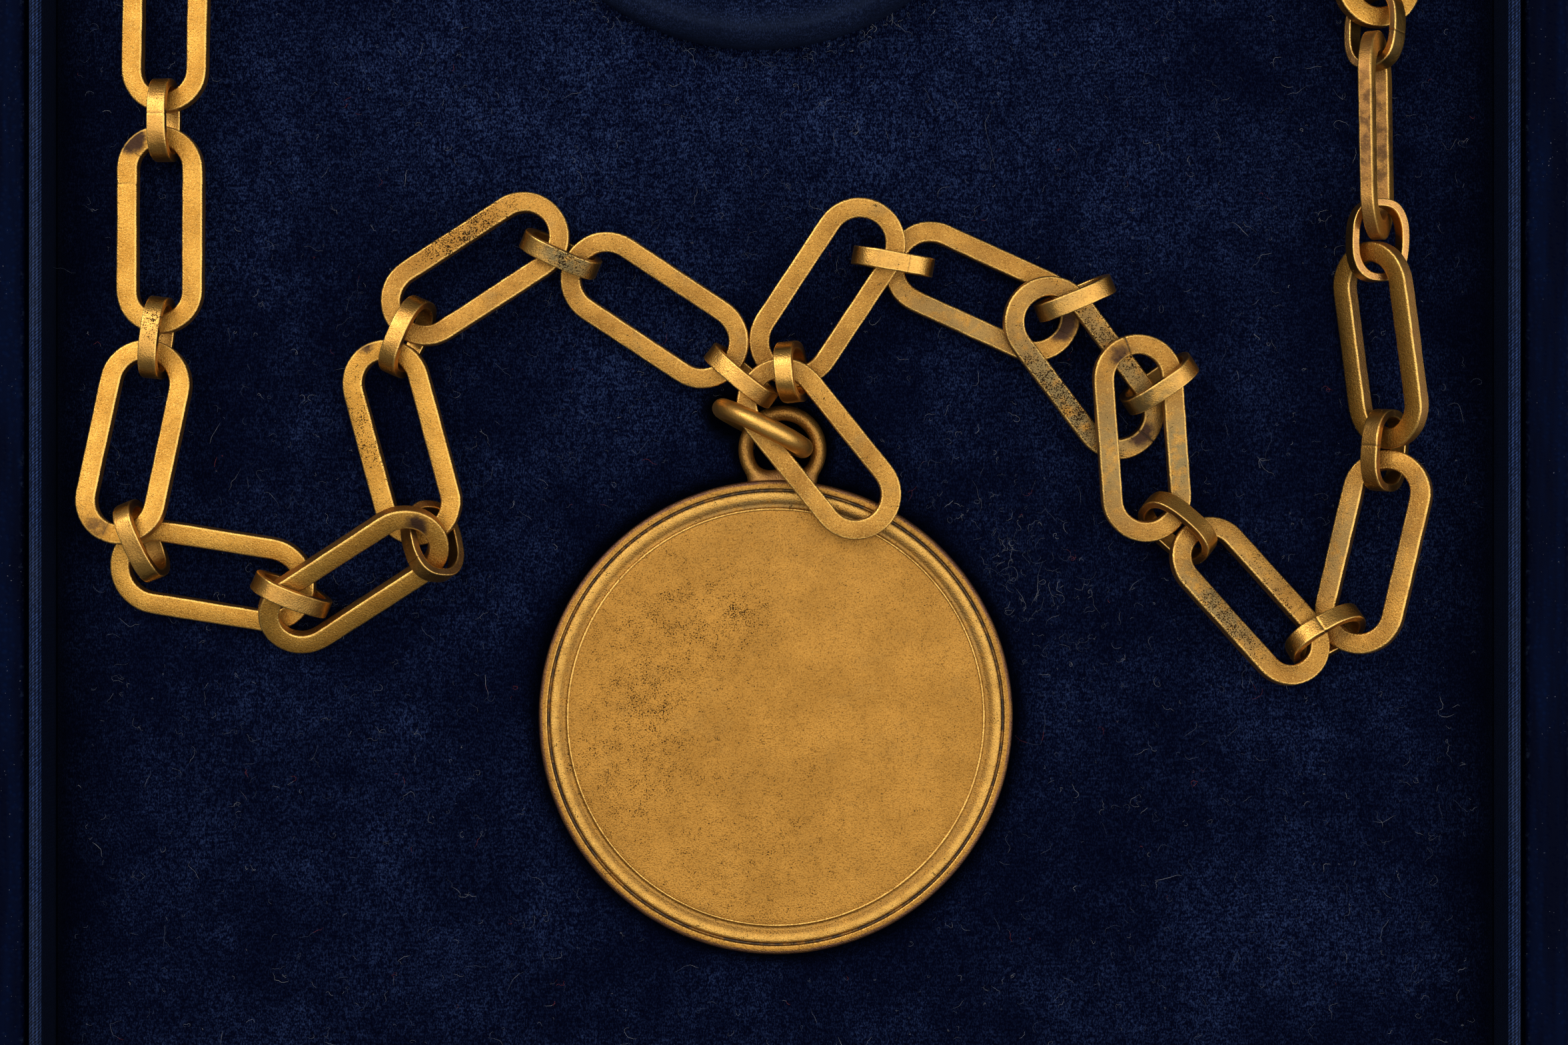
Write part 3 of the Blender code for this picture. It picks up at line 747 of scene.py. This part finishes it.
def medal_profile(radius):
    """Radius and height of the face from its middle outwards, then of the same back inwards."""
    field = [(r, FIELD) for r in (0.15, *np.arange(1.5, 26.0, 0.75), 26.2)]
    line = arc((LINE_R, 1.24), (LINE_HALF, LINE_HALF), 180, 0, 6)
    hollow = [(26.78, 1.19)]
    rise = [(28.15 - 1.15 * k / 10, 1.17 + 0.34 * (1 - (k / 10) ** 2)) for k in range(10, -1, -1)]
    moulding = arc((MOULDING_R, 1.23), (0.42, 0.28), 85, 0, 8)
    groove = [(28.74, 1.20), (28.84, 1.16), (28.93, 1.20)]
    band = [(28.98, 1.46), (29.02, 1.54), (29.08, 1.58), (29.16, 1.60), (29.38, 1.62), (29.55, 1.60)]
    side = arc((SIDE_R, 1.10), (radius - SIDE_R, 0.47), 80, 0, 6)
    face = field + line + hollow + rise + moulding + groove + band + side
    return face + [(r, -z) for r, z in reversed(face)]


def medal_disc(gilt):
    """Struck disc: rubbed bright on its crests, with painted highlight there, tarnished in its
    hollows, browner on its side.
    """
    sides = 220
    centre, radius = disc_place()
    profile = medal_profile(radius / MM)
    verts = turned(profile, centre, sides)
    r = np.repeat([r for r, _ in profile], sides)
    # bright crest and bright lines on the raised line and band's edge: rubbed polish and painted
    # highlight
    crest = np.clip(0.55 * (1 - ((r - 28.2) / 0.75) ** 2), 0, 1) * (r < GROOVE_IN)
    sharp = (np.abs(r - LINE_R) < 0.16) | (np.abs(r - 29.05) < 0.05)
    hollow = 0.20 * ((r > 26.62) & (r < 27.6)) + 0.30 * ((r > 28.5) & (r < 29.0))
    marks = stain_marks("medal", verts)
    marks["grey"] = np.maximum(hollow, marks["grey"] * (0.08 + 3.0 * hollow))
    marks["edge"] = np.where(sharp, 1.0, crest)
    marks["flank"] = r > SIDE_R + 0.06
    marks["groove"] = (r > GROOVE_IN) & (r < GROOVE_OUT)
    disc = build("medal_disc", verts, len(profile), sides, gilt, False, marks, caps=True)
    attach(disc, "root")
    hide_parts("medal")


def wire_angles(around, across):
    """Angles round a ring and round its wire, with the number of the station."""
    for i in range(around):
        for j in range(across):
            yield i, 2 * math.pi * i / around, 2 * math.pi * j / across


def medal_eye(gilt):
    """Wire loop that swells and flares into its soldered foot where it meets the rim."""
    around = 120
    across = 24
    eye = eye_place()
    verts = []
    flank = []
    for _, a, b in wire_angles(around, across):
        down = max(0.0, -math.sin(a))
        r = EYE_R + EYE_WIRE * math.cos(b) * (1 + 0.25 * down ** 6)
        if down > 0.5 and math.cos(b) < 0:
            r += EYE_WIRE * 1.1 * math.cos(b) * ((down - 0.5) * 2) ** 2
        y = r * math.sin(a)
        flare = min(max(0.0, (-y - 3.0) / 1.6), 1.0)
        x = r * math.cos(a) * (1 + 0.30 * flare ** 2)
        verts.append(eye + Vector((x, y, EYE_WIRE * math.sin(b))) * MM)
        flank.append(0.10 + 0.90 * min(1.0, max(0.0, down - 0.6) * 3))
    verts = np.array(verts)
    marks = stain_marks("medal", verts)
    marks["grey"] *= 0.12
    marks["flank"] = flank
    loop = build("medal_eye", verts, around, across, gilt, marks=marks)
    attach(loop, "root")
    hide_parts("medal")


def jump_ring(gilt):
    """Round wire ring, a little uneven, in the place of its node."""
    around = 96
    across = 20
    points = node_points("jump_ring")
    spot, axes = principal_axes(points)
    rel = (points - spot) @ axes.T / MM
    reach = np.hypot(rel[:, 0], rel[:, 1])
    wire = (reach.max() - reach.min()) / 2 * RING_FULL
    radius = (reach.max() + reach.min()) / 2
    uneven = 1 - 0.03 * (0.5 + 0.5 * wander(np.random.default_rng(5), around, 5))
    verts = []
    for i, a, b in wire_angles(around, across):
        thick = wire * uneven[i]
        r = radius + thick * math.cos(b)
        verts.append((r * math.cos(a), r * math.sin(a), thick * math.sin(b)))
    placed = roughened(verts, 9, 0.03, HAMMER_SIZE) * MM @ axes + spot
    marks = stain_marks("jump_ring", placed)
    # a little brightness all over the wire: polish and painted highlight
    marks["edge"] = np.full(len(verts), 0.3)
    marks["flank"] = np.full(len(verts), 0.08)
    ring = build("ring_wire", placed, around, across, gilt, marks=marks)
    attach(ring, "root")
    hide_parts("jump_ring")


# ---------- case
def rectangle_path(size_x, size_y, corner, spacing):
    """Points round a rounded rectangle in millimetres with their outward directions."""
    points = []
    normals = []
    for sx, sy, start in ((1, 1, 0), (-1, 1, 90), (-1, -1, 180), (1, -1, 270)):
        centre = (sx * (size_x / 2 - corner), sy * (size_y / 2 - corner))
        points += arc(centre, (corner, corner), start, start + 90, 10)
        normals += arc((0, 0), (1, 1), start, start + 90, 10)
        run = (size_y if sx * sy < 0 else size_x) - 2 * corner
        pieces = max(1, int(run / spacing))
        heading = math.radians(start + 180)
        x, y = points[-1]
        for k in range(1, pieces):
            far = run * k / pieces
            points.append((x + far * math.cos(heading), y + far * math.sin(heading)))
            normals.append(normals[-1])
    return np.array(points), np.array(normals)


def tray(leather):
    """Leatherette tray: soft rounded rim, rounded foot, closed floor."""
    low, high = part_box("case_tray")
    top = high.z / MM
    # distance outwards from the outer face and height, with how worn each point is
    section = arc((-TRAY_FOOT, TRAY_FOOT), (TRAY_FOOT, TRAY_FOOT), -90, 0, 5)
    section += [(0.0, 3.0), (0.0, top - TRAY_SOFT - 1.5)]
    section += arc((-TRAY_SOFT, top - TRAY_SOFT), (TRAY_SOFT, TRAY_SOFT), 0, 90, 9)
    section += arc((TRAY_LINE - TRAY_WALL, top - TRAY_LINE), (TRAY_LINE, TRAY_LINE), 90, 180, 5)
    section.append((-TRAY_WALL, TRAY_FLOOR))
    worn = [0.6] * 6 + [0.0] * 2 + [0.2, 0.4, 0.7, 0.8, 0.6, 0.3] + [0.0] * 4
    worn += [0.0, 0.2, 0.6, 0.8, 0.5, 0.2, 0.0]
    path, normals = rectangle_path((high.x - low.x) / MM, (high.y - low.y) / MM,
                                   CASE_CORNER + LIP_WALL + LIP_GAP + TRAY_WALL, spacing=6.0)
    rings = [(*(spot + normal * out) * MM, z * MM) for out, z in section
             for spot, normal in zip(path, normals)]
    piece = build("tray", rings, len(section), len(path), leather, closed_rings=False,
                  marks={"edge": np.repeat(worn, len(path))}, caps=True)
    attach(piece, "root")
    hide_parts("case_tray")


def lip(silk):
    """Silk-covered wall, padded over its top, in the shade low on its inner face."""
    low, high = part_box("case_lip")
    base = low.z / MM
    top = high.z / MM
    half = LIP_WALL / 2
    # distance outwards from the inner face and height
    section = [(LIP_WALL, base)] + [(LIP_WALL, z) for z in np.arange(8, top - 1, 4.0)]
    section += arc((half, top - half), (half, half), 0, 180, 12)
    section += [(0.0, z) for z in (top - 2, top - 4, top - 6, top - 9, base)]
    # the lowest points of the inner face get painted shade
    shaded = [0.0] * (len(section) - 6) + [1.0] * 6
    path, normals = rectangle_path((high.x - low.x) / MM - 2 * LIP_WALL,
                                   (high.y - low.y) / MM - 2 * LIP_WALL, CASE_CORNER, spacing=4.0)
    step = np.linalg.norm(np.diff(path, axis=0, append=path[:1]), axis=1)
    run = np.concatenate([[0], np.cumsum(step)[:-1]])
    lift = np.concatenate([[0], np.cumsum([math.dist(a, b) for a, b in zip(section, section[1:])])])
    rings = [(*(spot + normal * out) * MM, z * MM) for spot, normal in zip(path, normals)
             for out, z in section]
    marks = {"along": np.repeat(run, len(section)), "up": np.tile(lift, len(path)),
             "edge": np.tile(shaded, len(path))}
    piece = build("silk_lip", rings, len(path), len(section), silk, marks=marks)
    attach(piece, "root")
    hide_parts("case_lip")


def smooth(x):
    """Smooth rise from 0 to 1."""
    x = np.clip(x, 0, 1)
    return x * x * (3 - 2 * x)


def inside(far, radius, soft):
    """1 within a radius and 0 beyond it, with a soft edge."""
    return smooth((radius - far) / soft)


def velvet_pad(velvet):
    """Velvet bed: softened edges, seat of the medal, round for the eye and slot for the ring."""
    low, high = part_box("velvet_pad")
    half_x = (high.x - low.x) / 2
    half_y = (high.y - low.y) / 2
    mid_x = (low.x + high.x) / 2
    mid_y = (low.y + high.y) / 2
    xs = np.linspace(low.x, high.x, int(2 * half_x / MM / (PAD_STEP * 1.25)))
    ys = np.linspace(low.y, high.y, int(2 * half_y / MM / (PAD_STEP * 1.55)))
    gx, gy = np.meshgrid(xs, ys, indexing="ij")

    # the grid is drawn in round the corners; inset is the distance from the edge
    corner = PAD_CORNER * MM
    inset = np.minimum(half_x - np.abs(gx - mid_x), half_y - np.abs(gy - mid_y)) / MM
    du = np.clip((np.abs(gx - mid_x) - half_x) / corner + 1, 0, 1)
    dv = np.clip((np.abs(gy - mid_y) - half_y) / corner + 1, 0, 1)
    in_corner = (du > 0) & (dv > 0)
    du, dv = du * np.sqrt(1 - dv ** 2 / 2), dv * np.sqrt(1 - du ** 2 / 2)
    gx = np.where(in_corner, mid_x + np.sign(gx - mid_x) * (half_x - corner + du * corner), gx)
    gy = np.where(in_corner, mid_y + np.sign(gy - mid_y) * (half_y - corner + dv * corner), gy)
    inset = np.where(in_corner, PAD_CORNER * (1 - np.hypot(du, dv)), inset)

    seat, _ = disc_place()
    far = np.hypot(gx - seat.x, gy - seat.y) / MM
    eye = eye_place()
    far_eye = np.hypot(gx - eye.x, gy - eye.y) / MM
    spot, axes = principal_axes(node_points("jump_ring"))
    across = np.cross(axes[2], (0, 0, 1))[:2]
    across = across / np.linalg.norm(across)
    rel = np.stack([gx - spot[0], gy - spot[1]], axis=-1) / MM
    run = np.clip(rel @ across, -SLOT_HALF, SLOT_HALF)
    far_slot = np.linalg.norm(rel - run[..., None] * across, axis=-1)

    depth = SEAT_DEPTH * inside(far, SEAT_R + 0.3, 1.3)
    depth = np.maximum(depth, EYE_SEAT_DEPTH * inside(far_eye, EYE_SEAT_R + 0.3, 1.2))
    depth = np.maximum(depth, SLOT_DEPTH * inside(far_slot, SLOT_R + 0.5, 1.0))
    depth += 1.0 * (1 - smooth(inset / 1.4))
    rng = np.random.default_rng(3)
    swell = np.zeros_like(gx)
    for _ in range(14):
        angle = rng.uniform(0, math.pi)
        wave = rng.uniform(14, 45)
        phase = rng.uniform(0, 2 * math.pi)
        u = (gx * math.cos(angle) + gy * math.sin(angle)) / MM
        swell += np.sin(2 * math.pi * u / wave + phase)
    depth += PAD_SWELL * (swell - swell.min()) / np.ptp(swell)

    # painted shade in the seat, the eye's round, the ring's slot, faintly round the medal, and by the
    # walls
    shade = np.maximum(inside(far, SEAT_R + 0.1, 1.3), inside(far_eye, EYE_SEAT_R + 0.2, 1.3))
    shade = np.maximum(shade, inside(far_slot, SLOT_R + 0.7, 1.2))
    shade = np.maximum(shade, 0.15 * inside(far, SEAT_R + 4.0, 4.0))
    shade = np.maximum(shade, 0.75 * (1 - smooth(inset / 12.0)))
    # painted sheen where the pile lies over, from the table of patches
    nap_and_sheen = np.zeros_like(gx)
    for x, y, across_x, along_y, strength in NAP:
        reach = np.hypot((gx / MM - x) / across_x, (gy / MM - y) / along_y)
        nap_and_sheen = np.maximum(nap_and_sheen, strength * smooth(1.35 - reach))
    nap_and_sheen *= smooth(inset / 14.0)

    grid = np.arange(gx.size).reshape(gx.shape)
    faces = np.stack([grid[:-1, :-1], grid[1:, :-1], grid[1:, 1:], grid[:-1, 1:]], axis=-1)
    faces = faces.reshape(-1, 4).tolist()
    border = np.concatenate([grid[:, 0], grid[-1, 1:], grid[-2::-1, -1], grid[0, -2:0:-1]]).tolist()
    top = np.stack([gx, gy, high.z - depth * MM], axis=-1).reshape(-1, 3)
    skirt = top[border] * (1, 1, 0) + (0, 0, low.z)
    foot = len(top)
    count = len(border)
    for k in range(count):
        n = (k + 1) % count
        faces.append((border[k], foot + k, foot + n, border[n]))
    faces.append(tuple(range(foot + count - 1, foot - 1, -1)))
    # the pad's sides get painted shade too
    marks = {"shade": np.concatenate([shade.ravel(), np.full(count, 0.8)]),
             "nap_and_sheen": np.concatenate([nap_and_sheen.ravel(), np.zeros(count)])}
    pad = add_mesh("velvet_bed", np.concatenate([top, skirt]), faces, velvet, marks)
    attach(pad, "root")
    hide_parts("velvet_pad")


def roundel_place():
    """Middle and radius of the raised disc."""
    low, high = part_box("velvet_roundel")
    return Vector(((low.x + high.x) / 2, (low.y + high.y) / 2, 0)), (high.x - low.x) / 2


def roundel(velvet):
    """Raised velvet disc with a full rounded edge."""
    sides = 160
    low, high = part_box("velvet_roundel")
    centre, radius = roundel_place()
    radius /= MM
    base = low.z / MM
    top = high.z / MM
    profile = [(radius - 1.0, base), (radius - 0.2, base + 0.3), (radius, base + 1.2)]
    profile += arc((radius - ROUNDEL_SOFT, top - ROUNDEL_SOFT), (ROUNDEL_SOFT, ROUNDEL_SOFT), 0, 90, 10)
    profile += [(r, top) for r in (radius - 4, radius - 8, radius - 14, radius - 22, 1.0)]
    # painted shade at its foot; rounded edge lighter, worn pile and painted highlight; painted sheen on
    # top
    marks = {"shade": np.repeat([0.8, 0.7, 0.4] + [0.0] * 16, sides),
             "worn": np.repeat([0.0, 0.0, 0.15] + [0.25] * 9 + [0.45, 0.5, 0.1] + [0.0] * 4, sides),
             "nap_and_sheen": np.repeat([0.0] * 14 + [0.4] * 5, sides)}
    disc = build("velvet_disc", turned(profile, centre, sides), len(profile), sides, velvet,
                 False, marks, caps=True)
    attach(disc, "root")
    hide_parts("velvet_roundel")


def lint(mat):
    """Curly fibres caught in the pile, thicker beside the medal and along the raised disc."""
    low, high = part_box("velvet_pad")
    disc, disc_radius = roundel_place()
    seat, seat_radius = disc_place()
    seat_radius += 3 * MM
    rng = np.random.default_rng(11)
    verts = []
    faces = []

    def fibre(x, y, lift, scale, thickness, curls, heading=None):
        """One thin three-sided strand that wanders over the pile."""
        steps = 9
        start = len(verts)
        length = rng.gamma(3.0, scale) * MM
        radius = rng.uniform(*thickness) * MM
        heading = rng.uniform(0, 2 * math.pi) if heading is None else heading + rng.normal(0, 0.5)
        curl = rng.uniform(*curls)
        turn = rng.normal(0, curl)
        z = high.z + lift * MM
        for k in range(steps + 1):
            turn += rng.normal(0, curl * 0.7)
            ahead = heading + turn * k / steps
            x += math.cos(ahead) * length / steps
            y += math.sin(ahead) * length / steps
            z += rng.normal(0, 0.03) * MM
            side = Vector((-math.sin(ahead), math.cos(ahead), 0))
            fine = radius * (1 - 0.6 * abs(2 * k / steps - 1) ** 3)
            for a in map(math.radians, (90, 210, 330)):
                verts.append(Vector((x, y, z + fine * math.sin(a))) + side * fine * math.cos(a))
            if k < steps:
                a = start + 3 * k
                faces.extend((a + j, a + (j + 1) % 3, a + (j + 1) % 3 + 3, a + j + 3)
                             for j in range(3))
        faces.append((start + 2, start + 1, start))
        end = start + 3 * steps
        faces.append((end, end + 1, end + 2))

    for _ in range(STRANDS):
        x = rng.uniform(low.x + 3 * MM, high.x - 3 * MM)
        y = rng.uniform(low.y + 3 * MM, high.y - 3 * MM)
        if (math.hypot(x - disc.x, y - disc.y) >= disc_radius + MM
                and math.hypot(x - seat.x, y - seat.y) >= seat_radius):
            fibre(x, y, 0.10, 0.50, (0.011, 0.024), (0.5, 2.8))
    for _ in range(TUFT_STRANDS):
        x = (TUFT_X + rng.normal(0, 8.0)) * MM
        y = (TUFT_Y + rng.normal(0, 7.0)) * MM
        if math.hypot(x - seat.x, y - seat.y) > seat_radius:
            fibre(x, y, 0.10, 0.6, (0.012, 0.022), (0.8, 3.2))
    for _ in range(DISC_STRANDS):
        a = rng.uniform(0, 2 * math.pi)
        r = disc_radius + (abs(rng.normal(0.4, 0.8)) + 0.3) * MM
        fibre(disc.x + r * math.cos(a), disc.y + r * math.sin(a), 0.2, 0.45, (0.02, 0.04),
              (0.8, 2.6), a + math.pi / 2)
    piece = add_mesh("lint", verts, faces, mat)
    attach(piece, "root")


# ---------- stage
def area_light(name, place, size, power, color):
    """Soft square light, in metres and watts, that points at the middle of the case."""
    data = bpy.data.lights.new(name, "AREA")
    data.shape = "RECTANGLE"
    data.size = data.size_y = size
    data.energy = power
    data.color = color
    lamp = bpy.data.objects.new(name, data)
    lamp.location = place
    lamp.rotation_mode = "QUATERNION"
    middle = Vector((0.0, -0.02, 0.02))
    lamp.rotation_quaternion = (middle - Vector(place)).to_track_quat("-Z", "Y")
    bpy.context.scene.collection.objects.link(lamp)


def stage():
    """Pale floor, soft studio light and the camera straight above."""
    size = 3.0
    s = Shader("floor")
    pale = s.finish(s.mix((0.62, 0.62, 0.61), (0.68, 0.68, 0.67), s.noise(40.0, 3.0, 0.5)), 0.7)
    corners = [(-size, -size, 0), (size, -size, 0), (size, size, 0), (-size, size, 0)]
    floor = add_mesh("floor", corners, [(0, 1, 2, 3)], pale)

    scene = bpy.context.scene
    world = bpy.data.worlds.new("studio")
    world.use_nodes = True
    background = world.node_tree.nodes["Background"]
    background.inputs["Color"].default_value = (0.80, 0.85, 0.92, 1.0)
    background.inputs["Strength"].default_value = 0.18
    scene.world = world
    scene.view_settings.view_transform = "Standard"

    area_light("overhead", (-0.12, 0.12, 1.00), 1.25, 8.0, (1, 1, 1))
    area_light("key", (-0.55, 0.42, 0.62), 0.30, 2.6, (1, 0.97, 0.93))
    area_light("fill", (0.70, -0.20, 0.75), 0.90, 5.0, (0.95, 0.97, 1))

    data = bpy.data.cameras.new("camera")
    data.sensor_width = 36.0
    data.lens = LENS
    data.clip_start = 0.01
    camera = bpy.data.objects.new("camera", data)
    velvet_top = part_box("velvet_pad")[1].z
    camera.location = (CAMERA_X * MM, CAMERA_Y * MM, velvet_top + CAMERA_HEIGHT * MM)
    scene.collection.objects.link(camera)
    scene.camera = camera


# ---------- whole
bright = gilt_material("gilt_bright", (0.580, 0.290, 0.050), (0.49, 0.230, 0.036), FLANK_ORANGE,
                       flank_brown=0.60, tarnish=0.10, pit_base=0.05, blast=0.6, sparkle=0.5,
                       gloss=0.3, dent=0.035)
mellow = gilt_material("gilt_mellow", (0.44, 0.214, 0.041), (0.34, 0.158, 0.031), FLANK_ORANGE,
                       flank_brown=0.70, tarnish=0.30, pit_base=0.20, blast=0.7, sparkle=0.40,
                       gloss=0.2, dent=0.035)
rubbed = gilt_material("gilt_rubbed", (0.64, 0.335, 0.074), (0.46, 0.225, 0.049), FLANK_ORANGE,
                       flank_brown=0.65, tarnish=0.30, pit_base=0.05, blast=0.45, sparkle=0.25,
                       gloss=1.0, dent=0.045)
wire = gilt_material("gilt_wire", (0.82, 0.430, 0.090), (0.64, 0.322, 0.068), FLANK_ORANGE,
                     flank_brown=0.50, tarnish=0.15, pit_base=0.10, blast=0.35, sparkle=0.15,
                     gloss=0.5, dent=0.05)
struck = gilt_material("gilt_struck", (0.425, 0.200, 0.036), (0.385, 0.180, 0.032), FLANK_PURPLE,
                       flank_brown=0.90, tarnish=0.08, pit_base=0.26, blast=0.9, sparkle=0.20,
                       gloss=0.2, dent=0.008)
chain_links([bright] * BRIGHT_LINKS + [mellow] * DULL_LINKS + [bright] * len(LONG_LINKS), rubbed)
chain_back(mellow, rubbed)
medal_disc(struck)
# the eye takes the darker mellow finish: partly its tarnish, partly painted shade under the link
medal_eye(mellow)
jump_ring(wire)
tray(leather_material())
lip(silk_material())
velvet = velvet_material()
velvet_pad(velvet)
roundel(velvet)
lint(lint_material())
stage()
